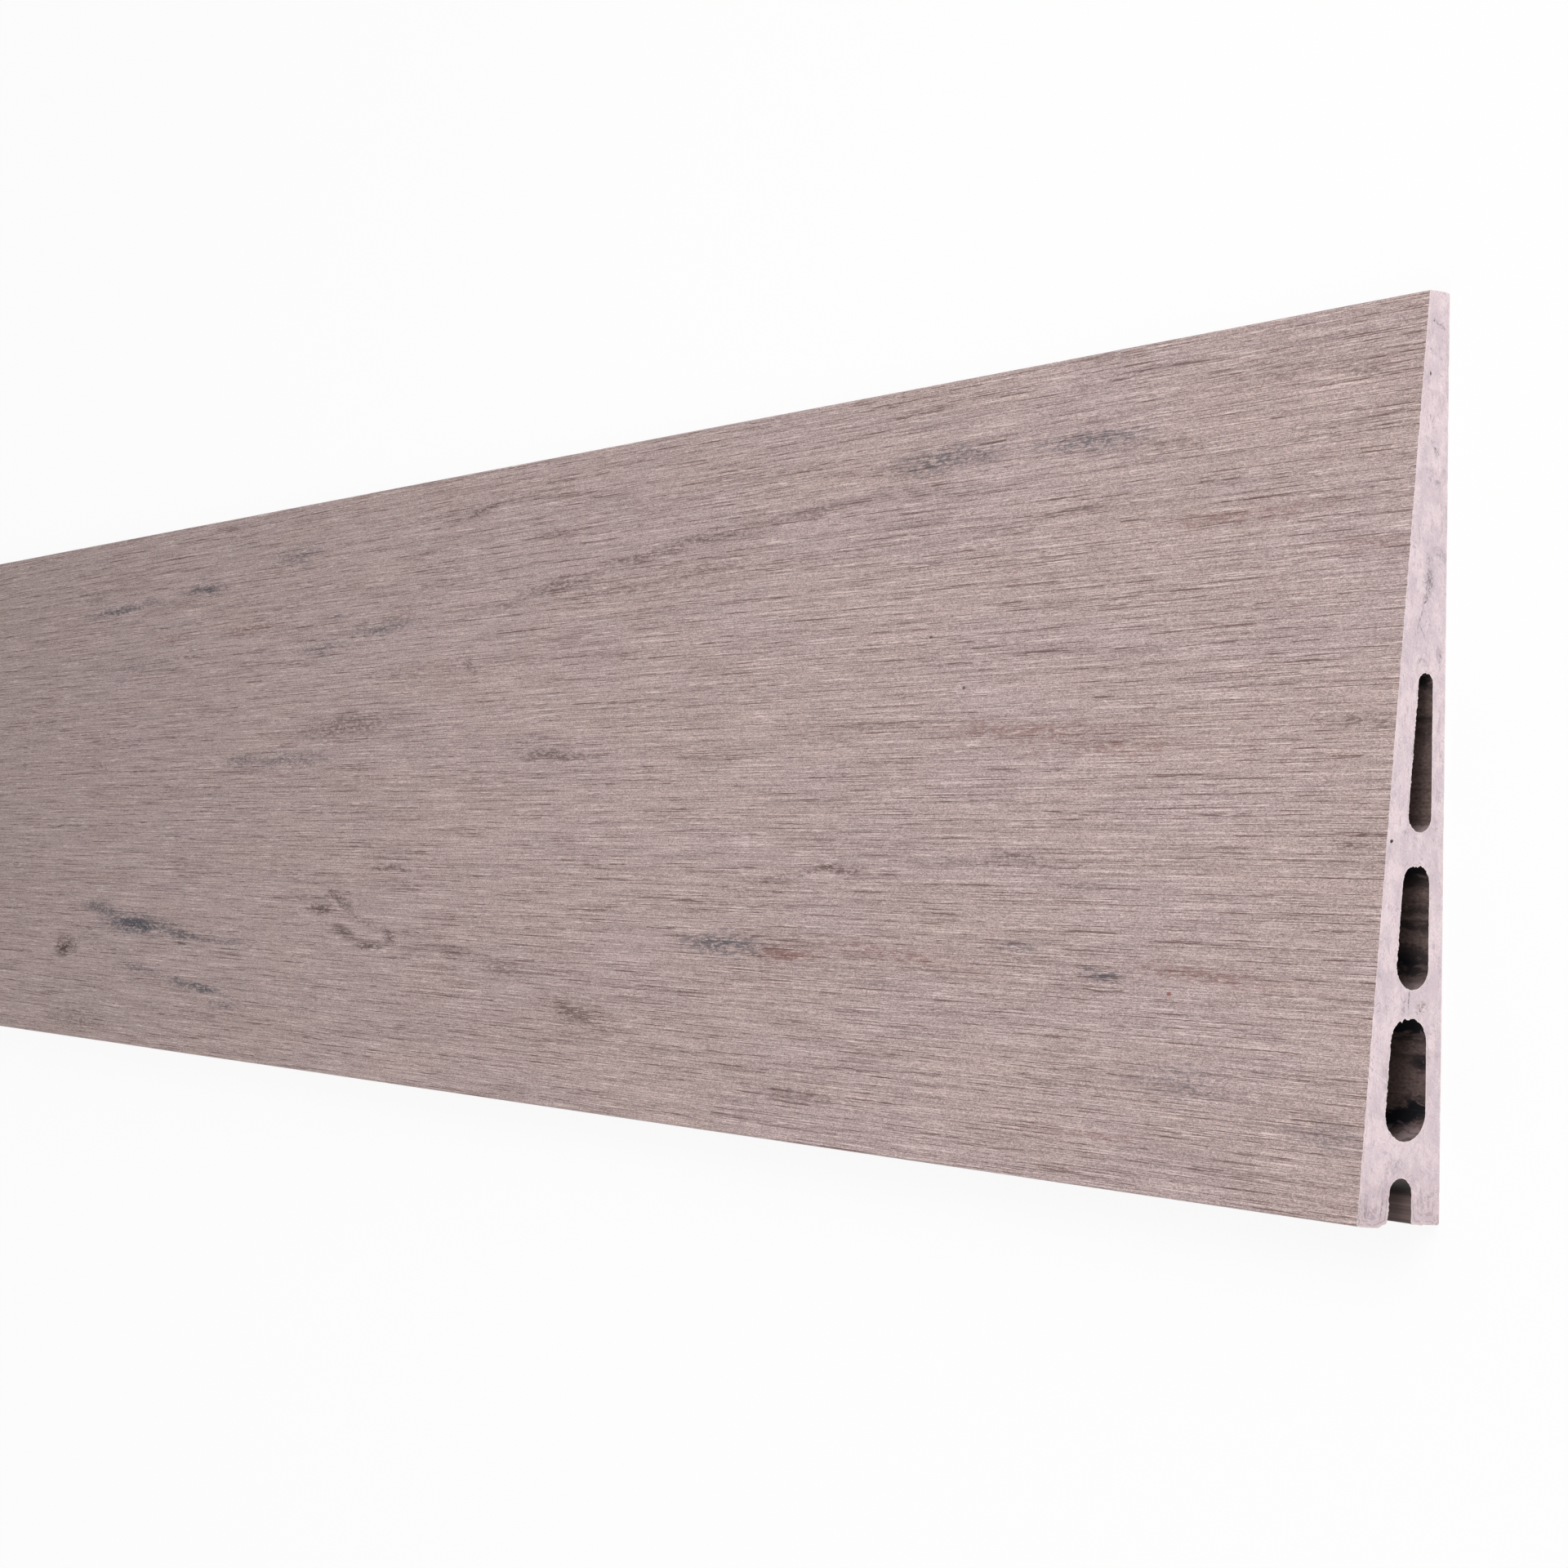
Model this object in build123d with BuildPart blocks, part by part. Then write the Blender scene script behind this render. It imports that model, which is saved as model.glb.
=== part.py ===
from build123d import *
import os
from math import atan, cos, sin, tan

# A tapered hollow fence board, extruded in one piece and sawn square at both ends.
# It lies on its flat back face with the sloping front face up. X runs along the
# board, Y from the thick edge to the thin edge and Z from the back to the front.
# The origin is on the back face, under the middle of the board. Millimetres.

# Outside of the board
length = 1800.0
width = 160.0  # of the back face, from edge to edge
thick_edge = 20.0  # from face to face, level with the corner of the back face
thin_edge = 5.0
corner_radius = 0.5

# Walls between the faces and the chambers, each measured square to its face
front_wall = 4.7
lower_back_wall = 3.7
middle_back_wall = 3.4
upper_back_wall = 3.1

# Chambers and the webs that part them, from the groove upwards
groove_web = 6.1
lower_chamber = 21.0
lower_web = 4.6
middle_chamber = 21.4
upper_web = 5.4
upper_chamber = 27.3

# Groove that takes the thin edge of the next board, and its two lips
groove_depth = 8.5
groove_clearance = 0.3  # between the groove's walls and the thin edge inside them
back_lip = 6.9
lip_step = 1.0  # how far the front lip reaches past the back lip
lead_in_height = 0.9
lead_in_width = 2.2
mouth_radius = 0.3

# The taper, which the front face, the slots' front walls and the lips' ends follow
taper = atan((thick_edge - thin_edge) / width)
narrowing = tan(taper / 2)  # what a slot's half-round loses in radius per millimetre

section_plane = Plane(origin=(0, -width / 2, 0), x_dir=(0, 1, 0), z_dir=(1, 0, 0))


def tilted(along, up):
    """Point of the section, measured along the front face and square to it."""
    return (along * cos(taper) + up * sin(taper), up * cos(taper) - along * sin(taper))


def tapered_slot(wall, foot_radius, low, high):
    """Slot from low to high that narrows with the board, with half-round ends.

    wall is its distance from the back face, and foot_radius the radius that its
    half-round would have if it were centred level with the thick edge.
    """
    low_centre = (low + foot_radius) / (1 + narrowing)
    high_centre = (high - foot_radius) / (1 - narrowing)
    with BuildSketch(mode=Mode.PRIVATE) as slot:
        for centre in (low_centre, high_centre):
            radius = foot_radius - centre * narrowing
            with Locations((centre, wall + radius)):
                Circle(radius)
        make_hull(slot.edges())
    return slot.sketch


def chamber(back_wall, low, height):
    """Closed chamber between the back wall and the front wall."""
    room = (thick_edge - back_wall) * cos(taper) - front_wall
    return tapered_slot(back_wall, room / (1 + cos(taper)), low, low + height)


def groove():
    """Groove in the thick edge, open below, that the next thin edge slides into."""
    radius = (thin_edge + groove_clearance) / (1 + 1 / cos(taper))
    centre = groove_depth - radius
    below_the_lips = -thick_edge
    return tapered_slot(back_lip, radius + centre * narrowing, below_the_lips, groove_depth)


def corner(section, point):
    """The corner of the section nearest to a point."""
    return section.vertices().sort_by_distance(Vector(*point))[0]


lower_start = groove_depth + groove_web
middle_start = lower_start + lower_chamber + lower_web
upper_start = middle_start + middle_chamber + upper_web
front_height = thick_edge * cos(taper)  # of the front face over the origin of tilted()
groove_middle = back_lip + (thin_edge + groove_clearance) / 2
groove_front = back_lip + thin_edge + groove_clearance
lip_middle = (groove_front + front_height) / 2

back_foot = tilted(0, 0)
front_foot = tilted(-lip_step, front_height)
back_top = (width, 0)
front_top = (width, thin_edge)

with BuildSketch() as section:
    with BuildLine():
        Polyline(
            back_foot,
            back_top,
            front_top,
            front_foot,
            tilted(-lip_step, groove_middle),
            tilted(0, groove_middle),
            close=True,
        )
    make_face()
    add(groove(), mode=Mode.SUBTRACT)

    # The front lip's inner corner is cut back so that the next board finds the groove
    inner_corner = corner(section, tilted(-lip_step, groove_front))
    lip_end = section.edges().sort_by_distance(Vector(*tilted(-lip_step, lip_middle)))[0]
    chamfer(inner_corner, length=lead_in_width, length2=lead_in_height, reference=lip_end)
    fillet(corner(section, tilted(0, back_lip)), radius=mouth_radius)
    fillet(
        [corner(section, point) for point in (back_foot, back_top, front_top, front_foot)],
        radius=corner_radius,
    )

    add(chamber(lower_back_wall, lower_start, lower_chamber), mode=Mode.SUBTRACT)
    add(chamber(middle_back_wall, middle_start, middle_chamber), mode=Mode.SUBTRACT)
    add(chamber(upper_back_wall, upper_start, upper_chamber), mode=Mode.SUBTRACT)

with BuildPart() as fence_board:
    with BuildSketch(section_plane):
        add(section.sketch)
    extrude(amount=length / 2, both=True)

fence_board.part.label = "fence_board"
os.makedirs("parts", exist_ok=True)
export_step(fence_board.part, "parts/fence_board.step")
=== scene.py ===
"""Looks of the composite fence board.

One length of hollow wood-plastic extrusion: brushed faces, a smooth dark skin in the
groove and the chambers, and pale sawn ends. The board's section and the sizes of its
relief are in millimetres, and Blender's own objects are in metres.
"""

from math import atan, cos, hypot, pi, radians, sin, tan

import bpy
import numpy as np
from mathutils import Matrix, Vector
from mathutils.geometry import delaunay_2d_cdt


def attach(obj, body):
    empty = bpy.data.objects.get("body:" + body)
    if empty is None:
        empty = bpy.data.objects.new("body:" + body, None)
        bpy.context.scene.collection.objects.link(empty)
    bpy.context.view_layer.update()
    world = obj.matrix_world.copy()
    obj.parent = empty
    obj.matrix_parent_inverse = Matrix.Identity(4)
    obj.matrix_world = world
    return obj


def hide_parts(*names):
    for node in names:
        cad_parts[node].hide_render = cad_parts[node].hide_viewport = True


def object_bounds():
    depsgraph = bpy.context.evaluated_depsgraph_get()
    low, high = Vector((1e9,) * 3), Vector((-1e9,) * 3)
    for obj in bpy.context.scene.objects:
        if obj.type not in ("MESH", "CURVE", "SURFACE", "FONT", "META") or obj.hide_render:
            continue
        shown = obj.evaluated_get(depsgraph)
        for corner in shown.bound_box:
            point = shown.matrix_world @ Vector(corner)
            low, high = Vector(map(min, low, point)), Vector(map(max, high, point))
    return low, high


MM = 0.001

# Section of the board: y runs from the thick edge to the thin edge, z from the back to the front
LENGTH = 1800.0
WIDTH = 160.0
THICK_EDGE = 20.0
THIN_EDGE = 5.0
CORNER_RADIUS = 0.5
FRONT_WALL = 4.7
CHAMBERS = ((3.7, 14.6, 21.0), (3.4, 40.2, 21.4), (3.1, 67.0, 27.3))  # back wall, start, height
GROOVE_DEPTH = 8.5
GROOVE_WIDTH = 5.3
BACK_LIP = 6.9
LIP_STEP = 1.0
LEAD_IN_HEIGHT = 0.9
LEAD_IN_WIDTH = 2.2
MOUTH_RADIUS = 0.3
TAPER = atan((THICK_EDGE - THIN_EDGE) / WIDTH)
NARROWING = tan(TAPER / 2)

# Distances between the points of the mesh
FRONT_PITCH = 0.32
BACK_PITCH = 1.5
PLAIN_PITCH = 0.8
GROOVE_PITCH = 0.3
ARC_PITCH = 0.35
STATION_PITCH = 17.5
CHAMBER_PITCH = 0.25
CHAMBER_STATION_PITCH = 360.0
SAWN_PITCH = 0.8
END_STATIONS = (0.3, 0.9, 2.0, 5.0)  # from the sawn end
SHARP_ANGLE = 35  # degrees between two faces, from which their edge stays sharp
SEED = 638

# Materials in the order of their slots, and the one that each stretch of the outside has
FACE_KINDS = ("brushed", "skin", "chamber", "sawn")
MATERIAL_OF = {"front": "brushed", "back": "brushed", "skin": "skin"}

# Relief that the wire brushes cut: the depth, length and width of its lines and waves, how
# deep it lies and how much of it each face has
BRUSH_LINES = ((0.030, 30.0, 0.30), (0.018, 90.0, 0.45))
WAVES = (0.015, 220.0, 4.0)
MEAN_DEPTH = 0.06
DEEPEST = 0.20
WORN = {"front": 1.0, "back": 0.5, "skin": 0.15}

# What the saw leaves: chips in the outside's edge, and burrs of fine teeth on broad swells
CHIP_DEPTH = 0.05
CHIP_WIDTH = 0.3
BURR_REACH = 0.09
TOOTH_WIDTH = 0.16
SWELL_WIDTH = 1.5

# Torn flakes at the chambers' rims: place in the section, height and half-width
FLAKES = (
    ((61.3, 6.6), 0.75, 0.55),
    ((60.6, 5.3), 0.60, 0.45),
    ((61.6, 7.9), 0.45, 0.40),
    ((35.5, 8.0), 0.55, 0.50),
    ((35.2, 9.6), 0.40, 0.40),
    ((34.7, 6.0), 0.35, 0.45),
)


def tilted(along, up):
    """Point of the section, measured along the front face and square to it."""
    return (along * cos(TAPER) + up * sin(TAPER), up * cos(TAPER) - along * sin(TAPER))


def arc(centre, radius, start, sweep, pitch=ARC_PITCH):
    """Points of an arc from its start angle through its sweep, both ends included."""
    steps = max(4, round(radius * abs(sweep) / pitch))
    angles = [start + sweep * step / steps for step in range(steps + 1)]
    return [(centre[0] + radius * cos(a), centre[1] + radius * sin(a)) for a in angles]


def rounded(before, corner, after, radius):
    """The corner between two straight runs as an arc that meets both."""
    to_before = Vector(before) - Vector(corner)
    to_after = Vector(after) - Vector(corner)
    half = to_before.angle(to_after) / 2
    bisector = (to_before.normalized() + to_after.normalized()).normalized()
    centre = Vector(corner) + bisector * radius / sin(half)
    first = Vector(corner) + to_before.normalized() * radius / tan(half) - centre
    start = np.arctan2(first.y, first.x)
    return arc(centre, radius, start, pi - 2 * half)


def straight(start, end, pitch):
    """Points between two others, without them."""
    steps = max(1, round(hypot(end[0] - start[0], end[1] - start[1]) / pitch))
    shares = [step / steps for step in range(1, steps)]
    return [(start[0] + (end[0] - start[0]) * s, start[1] + (end[1] - start[1]) * s) for s in shares]


def outline():
    """The section's outside, anticlockwise from the back face, and each point's face."""
    groove_radius = GROOVE_WIDTH / (1 + 1 / cos(TAPER))
    groove_centre = (GROOVE_DEPTH - groove_radius, BACK_LIP + groove_radius)
    front_height = THICK_EDGE * cos(TAPER)
    groove_front = groove_centre[0] * sin(TAPER) + groove_centre[1] * cos(TAPER) + groove_radius
    back_foot = (0.0, 0.0)
    back_top = (WIDTH, 0.0)
    front_top = (WIDTH, THIN_EDGE)
    front_foot = tilted(-LIP_STEP, front_height)
    lip_shoulder = tilted(-LIP_STEP, groove_front + LEAD_IN_WIDTH)
    lip_mouth = tilted(LEAD_IN_HEIGHT - LIP_STEP, groove_front)
    back_mouth = (BACK_LIP * tan(TAPER), BACK_LIP)
    groove_end = arc(groove_centre, groove_radius, pi / 2 - TAPER, -(pi - TAPER))
    stretches = (
        ("skin", rounded(back_mouth, back_foot, back_top, CORNER_RADIUS), "back", PLAIN_PITCH),
        ("back", rounded(back_foot, back_top, front_top, CORNER_RADIUS), "back", BACK_PITCH),
        ("skin", rounded(back_top, front_top, front_foot, CORNER_RADIUS), "front", PLAIN_PITCH),
        ("front", rounded(front_top, front_foot, lip_shoulder, CORNER_RADIUS), "front", FRONT_PITCH),
        ("skin", [lip_shoulder], "skin", PLAIN_PITCH),
        ("skin", [lip_mouth], "skin", GROOVE_PITCH),
        ("skin", groove_end, "skin", GROOVE_PITCH),
        ("skin", rounded(groove_end[-1], back_mouth, back_foot, MOUTH_RADIUS), "skin", GROOVE_PITCH),
    )
    points, faces = [], []
    for number, (face, corner, corner_face, pitch) in enumerate(stretches):
        before = stretches[number - 1][1][-1]
        run = straight(before, corner[0], pitch)
        points += run + list(corner)
        faces += [face] * len(run) + [corner_face] * len(corner)
    return np.array(points), np.array(faces)


def slot_outline(wall, low, height):
    """A chamber's outline, clockwise, so that its walls face into it."""
    room = (THICK_EDGE - wall) * cos(TAPER) - FRONT_WALL
    foot_radius = room / (1 + cos(TAPER))
    low_centre = (low + foot_radius) / (1 + NARROWING)
    high_centre = (low + height - foot_radius) / (1 - NARROWING)
    low_radius = foot_radius - low_centre * NARROWING
    high_radius = foot_radius - high_centre * NARROWING
    low_middle, high_middle = (low_centre, wall + low_radius), (high_centre, wall + high_radius)
    lower = arc(low_middle, low_radius, -pi / 2, -(pi + TAPER), CHAMBER_PITCH)
    upper = arc(high_middle, high_radius, pi / 2 - TAPER, -(pi - TAPER), CHAMBER_PITCH)
    front_run = straight(lower[-1], upper[0], CHAMBER_PITCH)
    back_run = straight(upper[-1], lower[0], CHAMBER_PITCH)
    return np.array(lower + front_run + upper + back_run)


def outward(points):
    """Unit normals of a closed outline that runs anticlockwise."""
    along = np.roll(points, -1, axis=0) - np.roll(points, 1, axis=0)
    normals = np.stack([along[:, 1], -along[:, 0]], axis=1)
    return normals / np.linalg.norm(normals, axis=1, keepdims=True)


def distance_round(points):
    """Each point's distance along its outline."""
    steps = np.linalg.norm(np.diff(points, axis=0), axis=1)
    return np.concatenate([[0.0], np.cumsum(steps)])


def smoothing(places, reach):
    """Matrix that blurs random numbers along a line and keeps their spread at 1."""
    weights = np.exp(-(((places[:, None] - places[None, :]) / reach) ** 2))
    return weights / np.sqrt((weights**2).sum(axis=1, keepdims=True))


def streaks(random, along, across, length, width):
    """Random field over a face that is smooth over a length one way and a width the other."""
    field = random.standard_normal((len(along), len(across)))
    return smoothing(along, length) @ field @ smoothing(across, width).T


def stations(pitch):
    """Places along the board where the section is repeated, closer together at its ends."""
    half = LENGTH / 2
    inner = half - END_STATIONS[-1]
    middle = np.linspace(-inner, inner, round(2 * inner / pitch) + 1)
    near_ends = half - np.array((0.0, *END_STATIONS[:-1]))
    return np.concatenate([-near_ends, middle, near_ends[::-1]])


def tube_faces(first, rings, size):
    """Quads between the rings of a closed tube, whose points start at an index."""
    ring, point = np.meshgrid(np.arange(rings - 1), np.arange(size), indexing="ij")
    here = first + ring * size + point
    beside = first + ring * size + (point + 1) % size
    return np.stack([here, here + size, beside + size, beside], axis=-1).reshape(-1, 4)


def inside(points, loop):
    """Which points lie inside a closed outline."""
    start, end = loop, np.roll(loop, -1, axis=0)
    y, z = points[:, :1], points[:, 1:]
    spans = (start[:, 1] > z) != (end[:, 1] > z)
    rise = np.where(end[:, 1] == start[:, 1], 1.0, end[:, 1] - start[:, 1])
    crossing = start[:, 0] + (z - start[:, 1]) * (end[:, 0] - start[:, 0]) / rise
    return (spans & (y < crossing)).sum(axis=1) % 2 == 1


def gap_to(points, loop):
    """Distance from each point to the nearest run of a closed outline."""
    start, run = loop, np.roll(loop, -1, axis=0) - loop
    offset = points[:, None, :] - start[None]
    share = np.clip((offset * run).sum(axis=2) / (run**2).sum(axis=1), 0, 1)
    return np.linalg.norm(offset - share[..., None] * run, axis=2).min(axis=1)


def burr(random, rim):
    """How far the saw has left each point of a rim reaching into its chamber or groove."""
    into = outward(rim)
    places = distance_round(rim)
    teeth = smoothing(places, TOOTH_WIDTH) @ random.standard_normal(len(rim))
    swells = smoothing(places, SWELL_WIDTH) @ random.standard_normal(len(rim))
    # The saw tears most where a wall faces the thick edge or the back
    torn = 0.3 + 0.7 * np.maximum(0, -into).max(axis=1)
    reach = BURR_REACH * np.clip(teeth + 0.6 * swells + 0.3, 0, 2.5) * torn
    for centre, height, width in FLAKES:
        gap = np.linalg.norm(rim - np.array(centre), axis=1)
        reach += height * np.exp(-((gap / width) ** 2)) * np.clip(1 + 0.35 * teeth, 0.3, 1.6)
    return into * reach[:, None]


def sawn_mesh(random, loops):
    """Points inside a sawn end and the triangles that join them to its outlines."""
    outer = loops[0]
    low, high = outer.min(axis=0), outer.max(axis=0)
    grid = np.meshgrid(np.arange(low[0], high[0], SAWN_PITCH), np.arange(low[1], high[1], SAWN_PITCH))
    points = np.stack([axis.ravel() for axis in grid], axis=1)
    points += random.uniform(-0.3, 0.3, points.shape) * SAWN_PITCH
    room = SAWN_PITCH / 2
    kept = inside(points, outer) & (gap_to(points, outer) > room)
    for loop in loops[1:]:
        kept &= ~inside(points, loop) & (gap_to(points, loop) > room)
    points = points[kept]
    edges, start = [], 0
    for loop in loops:
        size = len(loop)
        edges += [(start + i, start + (i + 1) % size) for i in range(size)]
        start += size
    flat = np.concatenate([*loops, points])
    inside_edges, close = 1, 1e-7
    found = delaunay_2d_cdt([Vector(point) for point in flat], edges, [], inside_edges, close)
    origin = [indices[0] for indices in found[3]]
    triangles = np.array([[origin[i] for i in face] for face in found[2]])
    middles = flat[triangles].mean(axis=1)
    solid = inside(middles, outer)
    for loop in loops[1:]:
        solid &= ~inside(middles, loop)
    return points, triangles[solid]


def worn_outside(random, shell, faces, places):
    """The outside's points at each station, brushed, chipped and burred, and its brush lines alone."""
    around = distance_round(shell)
    normals = outward(shell)
    lines = sum(depth * streaks(random, places, around, *size) for depth, *size in BRUSH_LINES)
    depth, *size = WAVES
    waves = depth * streaks(random, places, around, *size)
    share = np.array([WORN[face] for face in faces])
    relief = np.clip(lines + waves - MEAN_DEPTH, -DEEPEST, 0.0) * share
    rings = shell[None] + normals[None] * relief[..., None]

    groove_middle = BACK_LIP + GROOVE_WIDTH / 2
    in_groove = (faces == "skin") & (abs(shell[:, 1] - groove_middle) < GROOVE_WIDTH)
    for end in (0, -1):
        chips = smoothing(around, CHIP_WIDTH) @ random.standard_normal(len(shell))
        rings[end] -= normals * CHIP_DEPTH * np.clip(chips - 0.2, 0, 2.5)[:, None]
        rings[end] += burr(random, shell) * in_groove[:, None]
    return rings, lines / lines.std()


class BoardMesh:
    """The board's points and faces while its tubes and its sawn ends are added."""

    def __init__(self):
        self.points, self.around, self.depths, self.end_rings = [], [], [], []
        self.quads, self.triangles, self.kinds = [], [], []
        self.count = 0

    def add_points(self, places, section):
        self.points.append(np.concatenate([places, section], axis=-1).reshape(-1, 3))
        self.count += len(self.points[-1])

    def add_tube(self, places, rings, around, kinds):
        """A closed tube of rings at their places along the board."""
        number, size = rings.shape[:2]
        first = self.count + np.arange(size)
        self.end_rings.append((first, first + (number - 1) * size))
        self.quads.append(tube_faces(self.count, number, size))
        self.kinds.append(np.tile([FACE_KINDS.index(kind) for kind in kinds], number - 1))
        self.around.append(np.tile(around, number))
        self.add_points(np.broadcast_to(places[:, None, None], (number, size, 1)), rings)

    def add_sawn_ends(self, random):
        """The flat ends between the tubes, with each point's depth inside the nearest edge."""
        so_far = np.concatenate(self.points)
        self.depths.append(np.zeros(self.count))
        for end, x in enumerate((-LENGTH / 2, LENGTH / 2)):
            rings = [ring[end] for ring in self.end_rings]
            loops = [so_far[ring][:, 1:] for ring in rings]
            points, found = sawn_mesh(random, loops)
            index = np.concatenate([*rings, self.count + np.arange(len(points))])
            found = index[found]
            self.triangles.append(found if end else found[:, ::-1])
            self.kinds.append(np.full(len(found), FACE_KINDS.index("sawn")))
            self.depths.append(np.min([gap_to(points, loop) for loop in loops], axis=0))
            self.add_points(np.full((len(points), 1), x), points)

    def finished(self, name):
        """The mesh in metres, with the origin under the middle of the board."""
        points = np.concatenate(self.points) - (0.0, WIDTH / 2, 0.0)
        faces = np.concatenate(self.quads).tolist() + np.concatenate(self.triangles).tolist()
        mesh = bpy.data.meshes.new(name)
        mesh.from_pydata((points * MM).tolist(), [], faces)
        mesh.polygons.foreach_set("material_index", np.concatenate(self.kinds))
        return mesh


def build_board():
    """The whole board as one closed mesh, with what its materials need stored on it."""
    random = np.random.default_rng(SEED)
    shape = BoardMesh()
    shell, faces = outline()
    places = stations(STATION_PITCH)
    rings, lines = worn_outside(random, shell, faces, places)
    shape.add_tube(places, rings, distance_round(shell), [MATERIAL_OF[face] for face in faces])

    places = stations(CHAMBER_STATION_PITCH)
    sawn = abs(places) == LENGTH / 2
    for wall, low, height in CHAMBERS:
        slot = slot_outline(wall, low, height)
        rings = np.array([slot + burr(random, slot) if at_end else slot for at_end in sawn])
        shape.add_tube(places, rings, distance_round(slot), ["chamber"] * len(slot))
    shape.add_sawn_ends(random)

    mesh = shape.finished("board")
    store(mesh, "around", np.concatenate(shape.around))
    store(mesh, "relief", lines.ravel())
    store(mesh, "depth", np.concatenate(shape.depths))
    mesh.shade_smooth()
    mesh.set_sharp_from_angle(angle=radians(SHARP_ANGLE))
    mesh.update()
    return mesh


def front_start():
    """Distance round the outline where the front face would meet the thick edge's corner."""
    shell, faces = outline()
    front = np.flatnonzero(faces == "front")
    middle = front[len(front) // 2]
    return distance_round(shell)[middle] + shell[middle][0] / cos(TAPER)


def store(mesh, name, values):
    """Keeps a number for each point of the mesh, for its materials to read; the rest get 0."""
    padded = np.zeros(len(mesh.vertices))
    padded[: len(values)] = values
    mesh.attributes.new(name, "FLOAT", "POINT").data.foreach_set("value", padded)


def linear(red, green, blue):
    """Colour given as 0 to 255 on a screen, as Blender's shaders take it."""
    shares = [level / 255 for level in (red, green, blue)]
    return (*(s / 12.92 if s <= 0.04045 else ((s + 0.055) / 1.055) ** 2.4 for s in shares), 1.0)


class Surface:
    """A material and short ways to add nodes to it."""

    def __init__(self, name):
        self.material = bpy.data.materials.new(name)
        self.material.use_nodes = True
        self.tree = self.material.node_tree
        self.shader = self.tree.nodes["Principled BSDF"]
        where = self.tree.nodes.new("ShaderNodeTexCoord").outputs["Object"]
        self.place = self.vector("MULTIPLY", where, (1 / MM, 1 / MM, 1 / MM))

    def node(self, kind, values, **settings):
        node = self.tree.nodes.new(kind)
        for name, value in settings.items():
            setattr(node, name, value)
        for name, value in values.items():
            self.feed(node.inputs[name], value)
        return node

    def feed(self, socket, value):
        if isinstance(value, bpy.types.NodeSocket):
            self.tree.links.new(value, socket)
        else:
            socket.default_value = value

    def maths(self, operation, *values, clamp=False):
        values = dict(enumerate(values))
        return self.node("ShaderNodeMath", values, operation=operation, use_clamp=clamp).outputs[0]

    def vector(self, operation, *vectors):
        return self.node("ShaderNodeVectorMath", dict(enumerate(vectors)), operation=operation).outputs[0]

    def stored(self, name):
        return self.node("ShaderNodeAttribute", {}, attribute_name=name).outputs["Fac"]

    def grain_place(self):
        """Place as distance along the board and distance round its outline."""
        along = self.node("ShaderNodeSeparateXYZ", {0: self.place}).outputs["X"]
        return self.node("ShaderNodeCombineXYZ", {"X": along, "Y": self.stored("around")}).outputs[0]

    def section_place(self, along_scale):
        """Place as distance from the thick edge, height over the back and a scaled place along."""
        parts = self.node("ShaderNodeSeparateXYZ", {0: self.place}).outputs
        edge = self.maths("ADD", parts["Y"], WIDTH / 2)
        along = self.maths("MULTIPLY", parts["X"], along_scale)
        return self.node("ShaderNodeCombineXYZ", {"X": edge, "Y": parts["Z"], "Z": along}).outputs[0]

    def shifted(self, place, noise, reach):
        """A place moved to and fro by noise, by up to half the reach each way."""
        swing = self.maths("SUBTRACT", noise, 0.5)
        moved = self.node("ShaderNodeVectorMath", {0: reach, "Scale": swing}, operation="SCALE").outputs[0]
        return self.vector("ADD", place, moved)

    def turned(self, place, angle):
        """A place turned about the third axis."""
        values = {"Vector": place, "Angle": angle}
        return self.node("ShaderNodeVectorRotate", values, rotation_type="Z_AXIS").outputs[0]

    def noise(self, place, cell, seed, detail=1.0, roughness=0.5, distortion=0.0):
        """Noise whose features have the size of a cell, in millimetres each way."""
        scale = tuple(1 / size for size in cell)
        offset = (seed * 17.3, seed * 5.9, seed * 11.7)
        moved = self.vector("MULTIPLY_ADD", place, scale, offset)
        values = {"Vector": moved, "Scale": 1.0, "Detail": detail}
        values |= {"Roughness": roughness, "Distortion": distortion}
        return self.node("ShaderNodeTexNoise", values).outputs["Fac"]

    def step(self, value, low, high):
        """0 below the low value and 1 above the high one, smooth between."""
        values = {"Value": value, "From Min": low, "From Max": high}
        return self.node("ShaderNodeMapRange", values, interpolation_type="SMOOTHSTEP").outputs[0]

    def from_middle(self, noise):
        """How far noise is from a half, which is near 0 along thin winding lines."""
        return self.maths("ABSOLUTE", self.maths("SUBTRACT", noise, 0.5))

    def swing(self, value, amount):
        """Turns noise about a half into a factor about 1."""
        return self.maths("MULTIPLY_ADD", value, amount, 1 - amount / 2)

    def mix(self, share, first, second):
        """A colour between two others; 6 and 7 are the node's inputs for colours, and 2 its output."""
        return self.node("ShaderNodeMix", {0: share, 6: first, 7: second}, data_type="RGBA").outputs[2]

    def tinted(self, colour, share, strength, tint):
        """A colour with some of another over it: a share of it times a strength."""
        return self.mix(self.maths("MULTIPLY", share, strength), colour, tint)

    def scaled(self, colour, factor):
        """A colour made lighter or darker by a factor."""
        colour = colour if isinstance(colour, bpy.types.NodeSocket) else colour[:3]
        values = {"Vector": colour, "Scale": factor}
        return self.node("ShaderNodeVectorMath", values, operation="SCALE").outputs[0]

    def window(self, place, centre, reach, lean=0.0):
        """1 at the centre of a leaning ellipsoid, fading out over its reach."""
        node = self.node("ShaderNodeTexGradient", {"Vector": place}, gradient_type="SPHERICAL")
        node.texture_mapping.vector_type = "TEXTURE"
        node.texture_mapping.translation = centre
        node.texture_mapping.rotation = (0.0, 0.0, lean)
        node.texture_mapping.scale = reach
        return node.outputs["Fac"]

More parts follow.
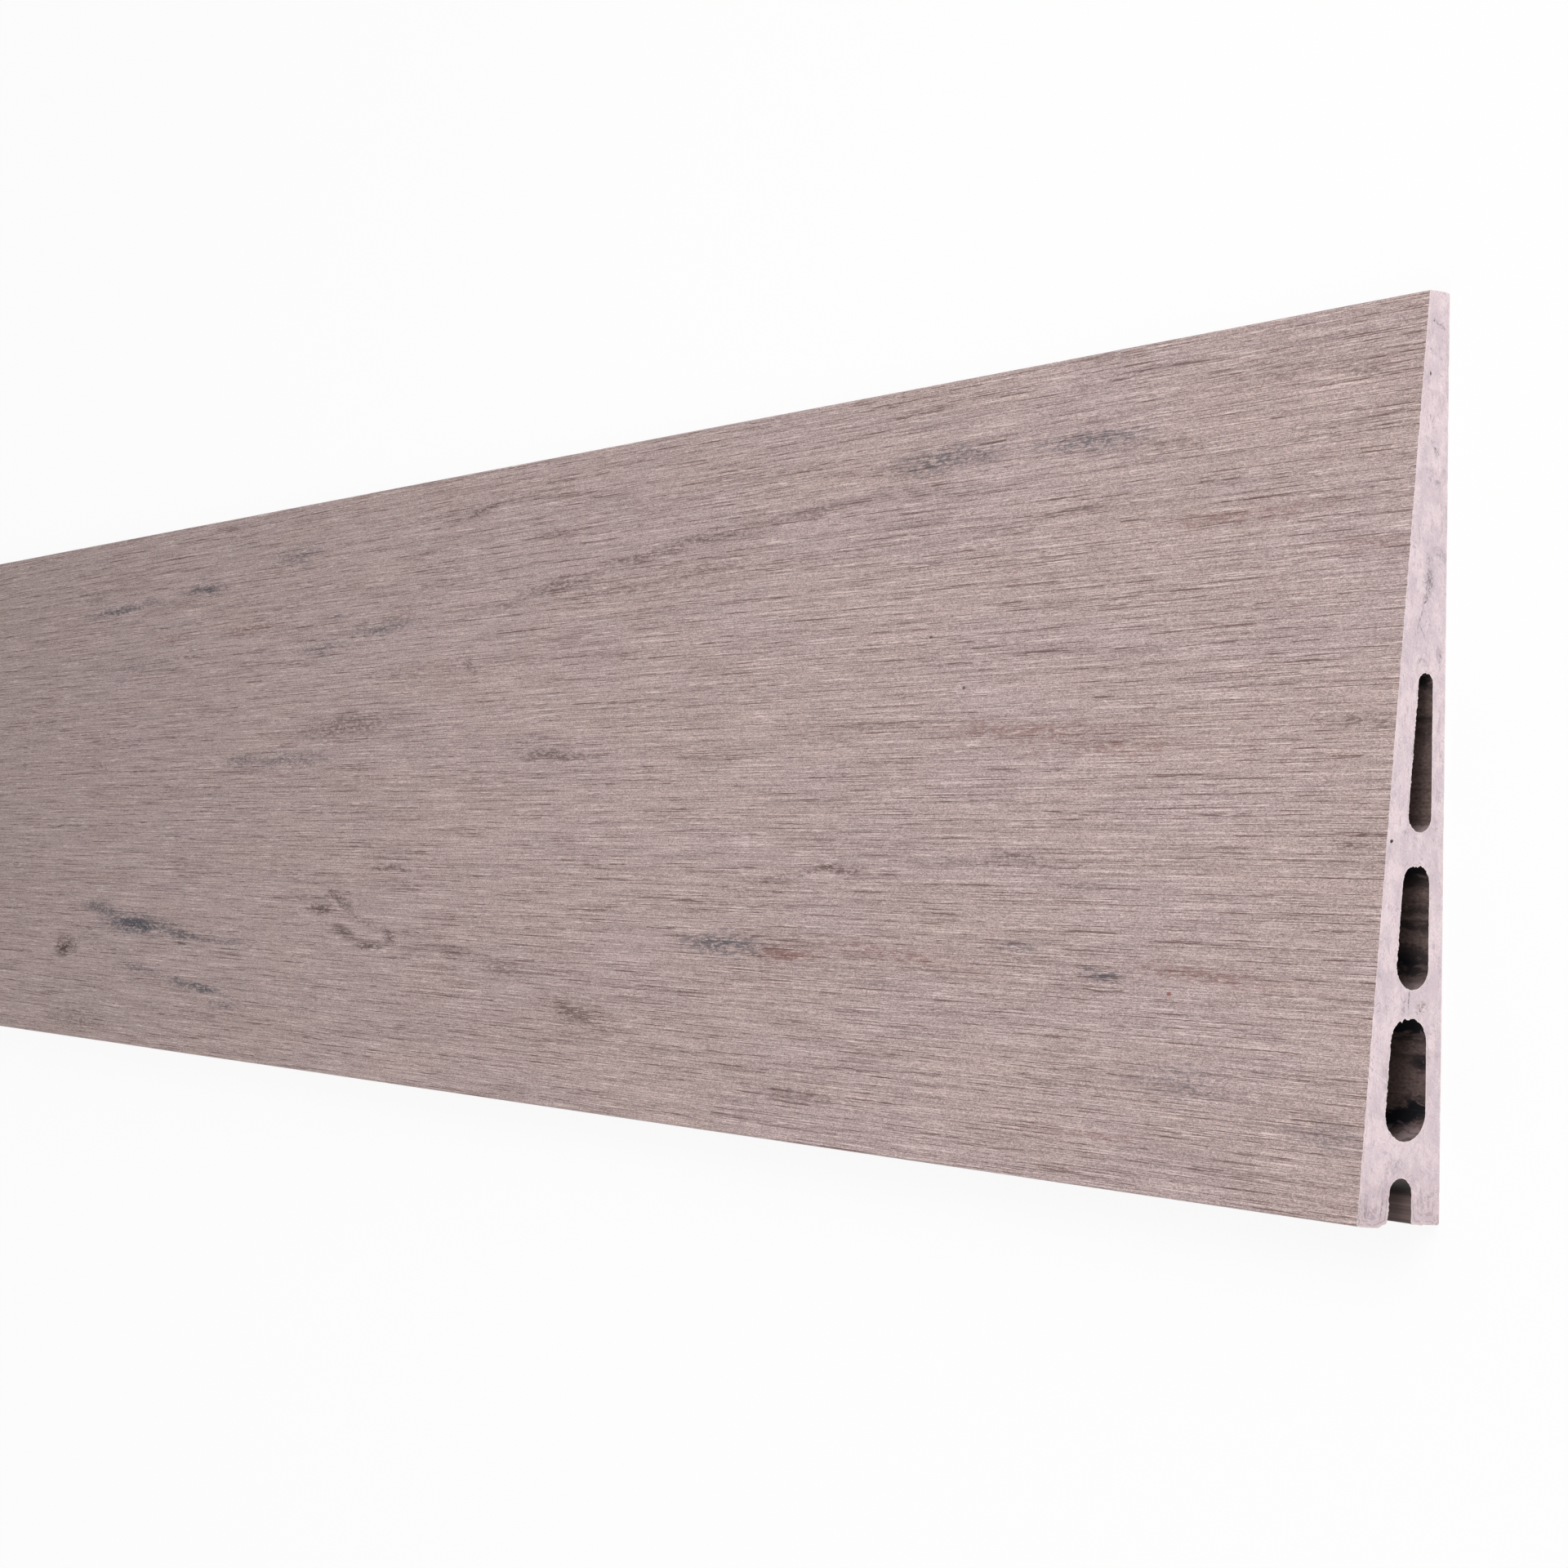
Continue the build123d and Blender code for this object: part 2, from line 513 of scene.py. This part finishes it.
    def smeared(self, colour, overlay, windows, flecks):
        """A colour under smears of another one, given as windows and strengths, thick with flecks: stains
        on the faces, painted shade in the groove and chambers, and painted light at the chambers' feet.
        """
        cover = 0.0
        for window, strength in windows:
            cover = self.maths("MULTIPLY_ADD", window, strength, cover)
        cover = self.maths("POWER", cover, 0.6)
        speckled = self.step(self.maths("MULTIPLY_ADD", cover, 0.20, flecks), 0.55, 0.66)
        share = self.maths("MULTIPLY", cover, self.maths("MULTIPLY_ADD", speckled, 0.85, 0.15), clamp=True)
        return self.mix(share, colour, overlay)

    def finish(self, colour, roughness, noise, heights):
        """Sets the colour, a roughness that follows a noise, and bumps from heights and their noises."""
        self.feed(self.shader.inputs["Base Color"], colour)
        varied = self.maths("MULTIPLY", self.swing(noise, 0.6), roughness)
        self.feed(self.shader.inputs["Roughness"], varied)
        normal = self.shader.inputs["Normal"]
        for height, shape in heights:
            bump = self.node("ShaderNodeBump", {"Distance": height * MM, "Height": shape, "Strength": 1.0})
            self.feed(normal, bump.outputs[0])
            normal = bump.inputs["Normal"]
        return self.material


BLUE_GREY = linear(66, 70, 80)
BROWN = linear(86, 64, 58)
RUST = linear(128, 84, 76)
RED = linear(140, 58, 36)
SOOT = linear(58, 46, 44)

# Stains in the front face by colour, each as its distance from the right end and from the
# thick edge, half its length and half its width, its slope away from the end and its strength
STAINS = {
    BLUE_GREY: (
        (132, 143.6, 26, 4.0, 0.0, 0.55),
        (86, 142.8, 24, 2.6, 0.02, 0.6),
        (96, 44.5, 10, 2.0, 0.0, 0.4),
        (69, 40.0, 7, 1.5, 0.0, 0.85),
        (197, 41.8, 24, 3.4, 0.0, 0.75),
        (376, 121.8, 24, 2.6, -0.03, 0.55),
        (413, 117.5, 20, 1.8, -0.05, 0.4),
        (405, 126.5, 9, 1.6, 0.0, 0.35),
        (432, 146.0, 22, 4.5, -0.03, 0.35),
        (494, 139.5, 22, 2.0, 0.0, 0.7),
        (556, 137.0, 45, 1.8, -0.02, 0.6),
        (425, 86.5, 38, 3.2, 0.0, 0.45),
        (457, 86.8, 13, 2.4, 0.0, 0.5),
        (517, 37.8, 38, 4.8, 0.03, 0.6),
        (520, 37.6, 26, 2.6, 0.03, 0.45),
        (549, 42.0, 20, 2.6, 0.08, 0.55),
        (482, 35.2, 26, 2.0, 0.04, 0.55),
        (452, 34.2, 24, 1.4, 0.0, 0.4),
        (463, 20.3, 12, 2.2, 0.03, 0.5),
        (478, 21.0, 30, 1.8, 0.06, 0.6),
        (515, 24.5, 22, 1.3, 0.05, 0.45),
        (450, 16.0, 16, 2.0, 0.0, 0.3),
        (48, 22.0, 18, 4.5, 0.0, 0.3),
        (8, 15.0, 14, 3.0, 0.0, 0.3),
        (545, 118.0, 40, 4.0, 0.0, 0.2),
    ),
    BROWN: (
        (66, 140.0, 22, 2.0, 0.0, 0.35),
        (14, 147.8, 12, 1.8, 0.10, 0.45),
        (36, 149.5, 16, 1.4, 0.0, 0.35),
        (90, 129.0, 22, 1.3, -0.13, 0.4),
        (185, 135.8, 55, 1.8, -0.07, 0.35),
        (222, 134.0, 24, 1.8, -0.06, 0.45),
        (250, 131.2, 24, 1.9, -0.08, 0.4),
        (284, 127.2, 26, 2.2, -0.08, 0.5),
        (310, 124.0, 20, 1.6, -0.05, 0.35),
        (220, 126.4, 54, 1.5, -0.08, 0.3),
        (260, 124.6, 22, 1.6, -0.04, 0.4),
        (288, 140.0, 13, 1.6, 0.0, 0.4),
        (300, 151.2, 26, 1.4, -0.05, 0.35),
        (326, 149.2, 12, 2.0, -0.08, 0.7),
        (278, 85.0, 26, 2.3, 0.04, 0.6),
        (10, 86.3, 18, 2.0, 0.06, 0.5),
        (148, 88.8, 34, 1.3, 0.0, 0.3),
        (9, 64.5, 13, 1.0, 0.0, 0.5),
        (98, 61.8, 13, 0.9, 0.0, 0.55),
        (110, 60.5, 50, 1.1, 0.0, 0.25),
        (157, 58.7, 15, 1.5, 0.0, 0.7),
        (176, 57.0, 20, 1.4, -0.12, 0.35),
        (76, 57.0, 16, 1.0, 0.0, 0.25),
        (255, 23.0, 24, 6.5, 0.12, 0.3),
        (258, 24.0, 11, 2.4, 0.15, 0.35),
        (293, 33.0, 16, 3.0, 0.08, 0.4),
        (317, 35.8, 20, 2.6, 0.05, 0.4),
        (160, 11.0, 22, 2.0, 0.0, 0.35),
        (392, 95.0, 40, 4.6, -0.03, 0.5),
        (357, 56.6, 17, 1.2, 0.0, 0.6),
        (560, 87.0, 16, 2.2, 0.0, 0.3),
        (382, 47.2, 10, 2.4, 0.35, 0.65),
        (395, 45.2, 11, 1.8, 0.0, 0.8),
        (390, 49.0, 8, 1.4, -0.20, 0.6),
        (354, 38.6, 6, 2.8, 0.35, 0.65),
        (364, 35.8, 13, 1.6, 0.0, 0.8),
        (380, 39.4, 9, 1.9, 0.15, 0.7),
        (368, 42.0, 13, 1.6, 0.15, 0.4),
        (572, 29.2, 12, 4.4, -0.05, 0.75),
        (575, 28.0, 8, 2.6, 0.0, 0.6),
        (556, 6.0, 28, 4.5, 0.0, 0.35),
        (578, 142.0, 12, 2.4, 0.0, 0.35),
        (324, 109.0, 3.0, 3.0, 0.0, 0.5),
        (492, 57.0, 10, 1.6, 0.0, 0.3),
    ),
    RUST: (
        (40, 124.5, 32, 2.2, 0.0, 0.35),
        (10, 117.0, 18, 2.2, 0.0, 0.35),
        (95, 86.4, 40, 3.0, 0.03, 0.45),
        (75, 82.8, 36, 2.0, 0.0, 0.3),
        (460, 125.8, 22, 2.8, 0.0, 0.35),
        (515, 125.8, 20, 2.8, 0.0, 0.4),
        (426, 91.0, 10, 1.6, 0.0, 0.3),
        (42, 41.0, 36, 2.2, 0.06, 0.4),
        (135, 41.6, 40, 2.2, 0.06, 0.4),
        (172, 40.4, 16, 2.6, 0.0, 0.8),
        (66, 10.4, 22, 1.6, 0.0, 0.3),
        (545, 52.0, 40, 3.0, 0.0, 0.15),
    ),
}
# Small dots: colour, place and reach
DOTS = (
    (RED, 50.8, 37.4, (0.9, 0.45)),
    (SOOT, 131.2, 106.7, (0.8, 0.45)),
    (SOOT, 118.8, 95.8, (0.8, 0.45)),
)

# Marks in the sawn end at the right by colour: distance from the thick edge, height over the
# back, half their size each way, lean and strength
END_MARKS = {
    BLUE_GREY: (
        (113.2, 4.4, 2.2, 1.3, 0.0, 0.35),
        (109.8, 4.3, 2.8, 1.5, 0.0, 1.1),
        (106.8, 5.1, 2.6, 0.9, -0.15, 0.9),
        (103.6, 6.3, 3.2, 0.3, -0.35, 0.6),
        (101.2, 5.6, 1.9, 0.3, 0.5, 0.6),
        (114.8, 1.6, 1.0, 2.6, -0.4, 0.35),
        (96.8, 1.3, 2.8, 0.3, 0.0, 0.9),
        (132.6, 2.9, 1.6, 0.9, 0.2, 0.7),
        (134.2, 4.6, 0.5, 1.8, -0.4, 0.4),
        (138.2, 4.3, 1.5, 0.4, 0.5, 0.6),
        (137.6, 3.5, 1.5, 0.4, -0.3, 0.5),
        (127.0, 2.7, 0.5, 1.0, 0.2, 0.8),
        (38.2, 8.1, 2.6, 0.25, 0.0, 1.2),
        (37.4, 9.3, 2.4, 0.5, -0.2, 0.5),
        (10.5, 11.0, 1.6, 3.0, 0.0, 0.3),
        (4.5, 13.6, 4.0, 0.4, -0.3, 0.5),
        (5.0, 3.0, 0.5, 4.0, 0.35, 0.5),
    ),
    BROWN: (
        (154.2, 2.2, 0.5, 2.3, -0.43, 0.7),
        (154.7, 4.0, 0.5, 0.4, 0.0, 1.2),
        (149.6, 4.1, 0.4, 1.5, -0.5, 0.4),
        (96.2, 6.3, 0.4, 1.0, 0.5, 0.7),
        (96.3, 5.4, 0.4, 0.8, -0.4, 0.6),
        (37.0, 5.0, 1.6, 1.6, 0.3, 0.8),
        (67.0, 9.4, 0.4, 0.5, 0.0, 0.7),
        (67.6, 2.0, 0.4, 0.5, 0.0, 0.7),
        (2.0, 19.0, 3.6, 1.8, 0.0, 0.35),
        (-0.6, 17.4, 1.8, 3.2, 0.0, 0.45),
        (0.4, 0.6, 1.4, 1.4, 0.0, 0.5),
    ),
    SOOT: (
        (145.6, 4.7, 0.5, 0.22, 0.0, 3.0),
        (65.4, 12.7, 0.45, 0.45, 0.0, 3.0),
    ),
}
# Soot in the chambers near the right end, and painted shade at each chamber's end toward the thin edge (the
# marks at 35.0, 60.8 and 93.6):
# distance from the thick edge and from the end, reach each way and strength
CHAMBER_SOOT_AND_PAINTED_SHADE = (
    (15.6, 13.0, 2.8, 8.0, 1.6),
    (17.8, 7.5, 2.8, 7.0, 1.5),
    (20.0, 2.0, 3.0, 6.0, 1.4),
    (27.6, 1.0, 2.0, 4.0, 1.0),
    (35.0, 8.0, 4.6, 30.0, 1.8),
    (44.6, 8.0, 4.6, 16.0, 1.2),
    (50.8, 8.0, 1.5, 24.0, 0.7),
    (53.8, 8.0, 1.2, 24.0, 0.65),
    (60.8, 8.0, 4.4, 30.0, 1.2),
    (85.0, 5.0, 3.6, 14.0, 0.4),
    (93.6, 5.0, 3.2, 20.0, 1.0),
)
# Painted light: a paler patch at the foot of each chamber near the right end, in the same numbers
CHAMBER_FOOT_PAINTED_LIGHT = (
    (14.2, 0.0, 3.2, 16.0, 1.0),
    (39.8, 0.0, 2.4, 14.0, 0.6),
    (66.6, 0.0, 2.4, 14.0, 1.2),
)


def brushed_material():
    """Face worn by wire brushes: short frayed lines along the board, dark and pale."""
    surface = Surface("brushed")
    even = surface.grain_place()
    fray = surface.noise(even, (1.8, 0.5, 1), 10)
    place = surface.shifted(even, fray, (0.0, 0.14, 0.0))
    grooves = surface.noise(place, (34.0, 0.2, 1), 1)
    groove_ends = surface.noise(place, (6.0, 0.3, 1), 2)
    ridges = surface.noise(place, (24.0, 0.18, 1), 3)
    ridge_ends = surface.noise(place, (4.0, 0.28, 1), 4)
    bands = surface.noise(place, (60.0, 4.0, 1), 6, detail=2)
    clouds = surface.noise(place, (120.0, 30.0, 1), 7, detail=2)
    grain = surface.noise(place, (0.7, 0.14, 1), 8)
    specks = surface.noise(place, (0.22, 0.14, 1), 5, detail=0.0)
    tint = surface.noise(place, (60.0, 14.0, 1), 9, detail=2)

    colour = surface.mix(surface.step(tint, 0.35, 0.65), linear(184, 162, 158), linear(183, 162, 160))
    tones = ((grooves, -0.7), (ridges, 0.7), (bands, 0.06), (clouds, 0.06), (grain, 1.5), (specks, 1.1))
    for noise, amount in tones:
        colour = surface.scaled(colour, surface.swing(noise, amount))
    worn = surface.maths("MULTIPLY_ADD", surface.stored("relief"), 0.02, 1.0)
    colour = surface.scaled(colour, worn)
    broken = surface.step(groove_ends, 0.46, 0.58)
    dark = surface.maths("MULTIPLY", surface.step(grooves, 0.54, 0.64), broken)
    colour = surface.tinted(colour, dark, 0.85, linear(108, 80, 74))
    broken = surface.step(ridge_ends, 0.46, 0.62)
    pale = surface.maths("MULTIPLY", surface.step(ridges, 0.52, 0.66), broken)
    colour = surface.tinted(colour, pale, 0.8, linear(238, 218, 213))
    colour = stained(surface, even, colour)
    return surface.finish(colour, 0.8, grooves, ((-0.10, grooves),))


def stained(surface, place, colour):
    """The front face's colour with its marks, each of them a faint smear thick with flecks."""
    start = front_start()

    def centre(from_end, from_edge):
        return (LENGTH / 2 - from_end, start - from_edge / cos(TAPER), 0.0)

    drift = surface.noise(place, (12.0, 3.0, 1), 40, detail=3, roughness=0.65)
    drifted = surface.shifted(place, drift, (16.0, 6.0, 0.0))
    flecks = surface.noise(place, (2.4, 0.6, 1), 60, detail=3, roughness=0.6, distortion=0.8)
    for overlay, marks in STAINS.items():
        windows = []
        for from_end, from_edge, length, width, lean, strength in marks:
            spot, reach = centre(from_end, from_edge), (length, width, 1.0)
            windows.append((surface.window(drifted, spot, reach, lean), strength))
        colour = surface.smeared(colour, overlay, windows, flecks)
    for overlay, from_end, from_edge, reach in DOTS:
        window = surface.window(place, centre(from_end, from_edge), (*reach, 1.0))
        share = surface.step(window, 0.0, 0.6)
        colour = surface.tinted(colour, share, 0.8, overlay)
    return colour


def skin_material():
    """Smooth dark skin that the extrusion die leaves, with lines along the board and painted shade deep in
    the groove.
    """
    surface = Surface("skin")
    place = surface.grain_place()
    lines = surface.noise(place, (60.0, 0.5, 1), 11, detail=3)
    patches = surface.noise(place, (30.0, 4.0, 1), 12, detail=3)
    colour = surface.scaled(linear(100, 83, 80), surface.swing(lines, 2.4))
    colour = surface.scaled(colour, surface.swing(patches, 0.7))
    section = surface.section_place(1.0)
    # Painted shade: a dark band deep in the groove, near its inner end, along the whole board
    windows = [(surface.window(section, (6.6, 9.5, 0.0), (2.0, 6.0, LENGTH * 4)), 1.6)]
    colour = surface.smeared(colour, linear(36, 31, 31), windows, patches)
    return surface.finish(colour, 0.5, lines, ((0.03, lines),))


def chamber_material():
    """The same skin inside the chambers, with soot drawn out along the board near the right end, painted
    shade at each chamber's end toward the thin edge and painted light at each chamber's foot.
    """
    surface = Surface("chamber")
    place = surface.grain_place()
    lines = surface.noise(place, (150.0, 1.3, 1), 21, detail=3)
    streaks = surface.noise(place, (30.0, 1.6, 1), 22, detail=4, roughness=0.65)
    grain = surface.noise(place, (0.8, 0.4, 1), 23)
    colour = surface.scaled(linear(112, 94, 90), surface.swing(lines, 0.8))
    colour = surface.scaled(colour, surface.swing(grain, 1.6))
    colour = surface.tinted(colour, surface.step(streaks, 0.54, 0.70), 0.6, linear(46, 42, 44))
    section = surface.section_place(1.0)
    ragged = surface.noise(section, (1.6, 8.0, 4.0), 24, detail=3, roughness=0.65, distortion=0.6)
    # Dark soot marks with painted shade at the chambers' thin-edge ends, then pale painted light at each
    # chamber's foot
    for overlay, marks in ((linear(22, 23, 30), CHAMBER_SOOT_AND_PAINTED_SHADE), (linear(176, 154, 157), CHAMBER_FOOT_PAINTED_LIGHT)):
        windows = []
        for from_edge, from_end, width, length, strength in marks:
            centre = (from_edge, 0.0, LENGTH / 2 - from_end)
            windows.append((surface.window(section, centre, (width, 1000.0, length)), strength))
        colour = surface.smeared(colour, overlay, windows, ragged)
    return surface.finish(colour, 0.55, lines, ((0.04, lines), (0.03, grain)))


def sawn_material():
    """Sawn end: pale, mottled and veined, with flow lines round its lips and fine saw scratches."""
    surface = Surface("sawn")
    squeeze = 0.01  # along the board, which keeps an end's pattern flat and sets the two ends apart
    place = surface.section_place(squeeze)
    clouds = surface.noise(place, (4.5, 2.6, 1), 31, detail=4, roughness=0.65)
    wisps = surface.noise(place, (1.4, 0.9, 1), 32, detail=4, roughness=0.7, distortion=1.5)
    grain = surface.noise(place, (0.3, 0.3, 1), 33)
    flesh = surface.noise(place, (0.5, 0.4, 1), 36, detail=2)
    colour = surface.mix(surface.step(clouds, 0.38, 0.62), linear(236, 217, 221), linear(216, 199, 206))
    for noise, amount in ((wisps, 0.4), (grain, 0.35)):
        colour = surface.scaled(colour, surface.swing(noise, amount))
    colour = surface.tinted(colour, surface.step(flesh, 0.52, 0.70), 0.4, linear(222, 190, 190))

    bend = surface.noise(place, (5.0, 3.0, 1), 30, detail=2)
    lips = surface.step(surface.window(place, (-3.0, 12.0, 0.0), (17.0, 36.0, 50.0)), 0.0, 0.75)
    strayed = surface.maths("MULTIPLY", bend, surface.maths("MULTIPLY_ADD", lips, -2.3, 3.0))
    depth = surface.maths("ADD", strayed, surface.stored("depth"))
    drift = surface.maths("MULTIPLY", clouds, 8.0)
    layered = surface.node("ShaderNodeCombineXYZ", {"X": depth, "Y": drift}).outputs[0]
    layers = surface.noise(layered, (0.5, 1.0, 1), 34, detail=2)
    clear = surface.maths("MAXIMUM", surface.step(bend, 0.54, 0.64), lips)
    lines = surface.maths("MULTIPLY", surface.step(layers, 0.50, 0.60), clear)
    strong = surface.maths("MULTIPLY_ADD", lips, 0.3, 0.35)
    colour = surface.tinted(colour, lips, 0.30, linear(186, 160, 162))
    colour = surface.tinted(colour, lines, strong, linear(162, 142, 151))

    marbled = surface.noise(place, (6.0, 2.4, 1), 35, detail=3, distortion=1.2)
    lined = surface.step(surface.from_middle(marbled), 0.020, 0.002)
    veins = surface.maths("MULTIPLY", lined, surface.step(bend, 0.56, 0.44))
    colour = surface.tinted(colour, veins, 0.5, linear(172, 152, 164))

    scratches = []
    for seed, lean, low in ((37, 0.35, 0.61), (38, 0.65, 0.60), (39, -0.45, 0.69)):
        turned = surface.turned(place, lean)
        scratches.append(surface.step(surface.noise(turned, (0.14, 6.0, 1), seed), low, low + 0.1))
    pale = surface.maths("MAXIMUM", surface.maths("MAXIMUM", scratches[0], scratches[1]), scratches[2])
    colour = surface.tinted(colour, pale, 0.45, linear(250, 238, 240))
    rim = surface.step(surface.stored("depth"), 0.30, 0.05)
    colour = surface.tinted(colour, rim, 0.35, linear(250, 236, 228))

    tangle = surface.noise(place, (1.6, 0.9, 1), 40, detail=2, distortion=1.5)
    threads = surface.maths("MULTIPLY_ADD", surface.step(surface.from_middle(tangle), 0.05, 0.01), 0.3, 0.4)
    swayed = surface.shifted(place, bend, (0.0, 1.5, 0.0))
    for overlay, marks in END_MARKS.items():
        windows = []
        for from_edge, height, along, across, lean, strength in marks:
            centre = (from_edge, height, LENGTH / 2 * squeeze)
            windows.append((surface.window(swayed, centre, (along, across, 1.0), lean), strength))
        colour = surface.smeared(colour, overlay, windows, threads)
    return surface.finish(colour, 0.75, wisps, ((0.05, wisps), (0.03, grain), (-0.03, pale)))


def floor_material():
    surface = Surface("floor")
    surface.shader.inputs["Base Color"].default_value = (0.08, 0.08, 0.08, 1)
    surface.shader.inputs["Roughness"].default_value = 0.9
    surface.shader.inputs["Emission Color"].default_value = (1, 1, 1, 1)
    surface.shader.inputs["Emission Strength"].default_value = 0.90
    return surface.material


def add_camera():
    """Camera at the photograph's own viewpoint, looking down on the board."""
    place = Vector((1.26246, -0.01979, 0.39261))
    ahead = Vector((-0.81826, 0.02545, -0.57429)).normalized()
    picture_up = Vector((0.01092, 0.99953, 0.02874))
    right = ahead.cross(picture_up).normalized()
    up = right.cross(ahead)
    camera = bpy.data.objects.new("camera", bpy.data.cameras.new("camera"))
    camera.data.lens = 70
    camera.data.sensor_width = 36
    camera.data.clip_start = 0.01
    camera.matrix_world = Matrix((right, up, -ahead)).transposed().to_4x4()
    camera.matrix_world.translation = place
    bpy.context.collection.objects.link(camera)
    bpy.context.scene.camera = camera


def add_floor(below):
    """Pale level floor that the board lies on, with low walls far off that hide the horizon."""
    half, wall = 60.0, 10.0
    mesh = bpy.data.meshes.new("floor")
    foot = [(-half, -half, below), (half, -half, below), (half, half, below), (-half, half, below)]
    top = [(x, y, below + wall) for x, y, _ in foot]
    walls = [(i, (i + 1) % 4, (i + 1) % 4 + 4, i + 4) for i in range(4)]
    mesh.from_pydata(foot + top, [], [(0, 1, 2, 3), *walls])
    floor = bpy.data.objects.new("floor", mesh)
    mesh.materials.append(floor_material())
    bpy.context.collection.objects.link(floor)


def add_light(name, place, target, size, power, spread):
    """Square soft light that faces a point; a narrow spread, in degrees, is a softbox's grid."""
    light = bpy.data.objects.new(name, bpy.data.lights.new(name, "AREA"))
    light.data.size = size
    light.data.energy = power
    light.data.spread = radians(spread)
    light.location = place
    light.rotation_euler = (Vector(target) - Vector(place)).to_track_quat("-Z", "Y").to_euler()
    bpy.context.collection.objects.link(light)


def add_sky(strength):
    world = bpy.data.worlds.new("sky")
    world.use_nodes = True
    world.node_tree.nodes["Background"].inputs["Color"].default_value = (1, 1, 1, 1)
    world.node_tree.nodes["Background"].inputs["Strength"].default_value = strength
    bpy.context.scene.world = world


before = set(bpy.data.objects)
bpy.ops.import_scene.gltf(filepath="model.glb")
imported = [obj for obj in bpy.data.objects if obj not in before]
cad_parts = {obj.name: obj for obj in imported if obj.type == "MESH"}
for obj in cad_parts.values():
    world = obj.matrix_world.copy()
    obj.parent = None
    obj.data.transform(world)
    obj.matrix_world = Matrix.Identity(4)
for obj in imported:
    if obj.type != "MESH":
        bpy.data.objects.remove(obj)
cad_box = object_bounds()

bpy.context.scene.view_settings.view_transform = "Standard"
add_camera()
add_floor(cad_box[0][2])
add_sky(0.575)
add_light("key", (1.25, 0.45, 0.9), (0.85, 0, 0), size=0.6, power=0.57, spread=50)
add_light("end", (1.6, 0.5, 0.5), (0.9, 0, 0), size=0.4, power=0.05, spread=60)

board = bpy.data.objects.new("board", build_board())
bpy.context.collection.objects.link(board)
for material in (brushed_material(), skin_material(), chamber_material(), sawn_material()):
    board.data.materials.append(material)
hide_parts("fence_board")
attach(board, "root")
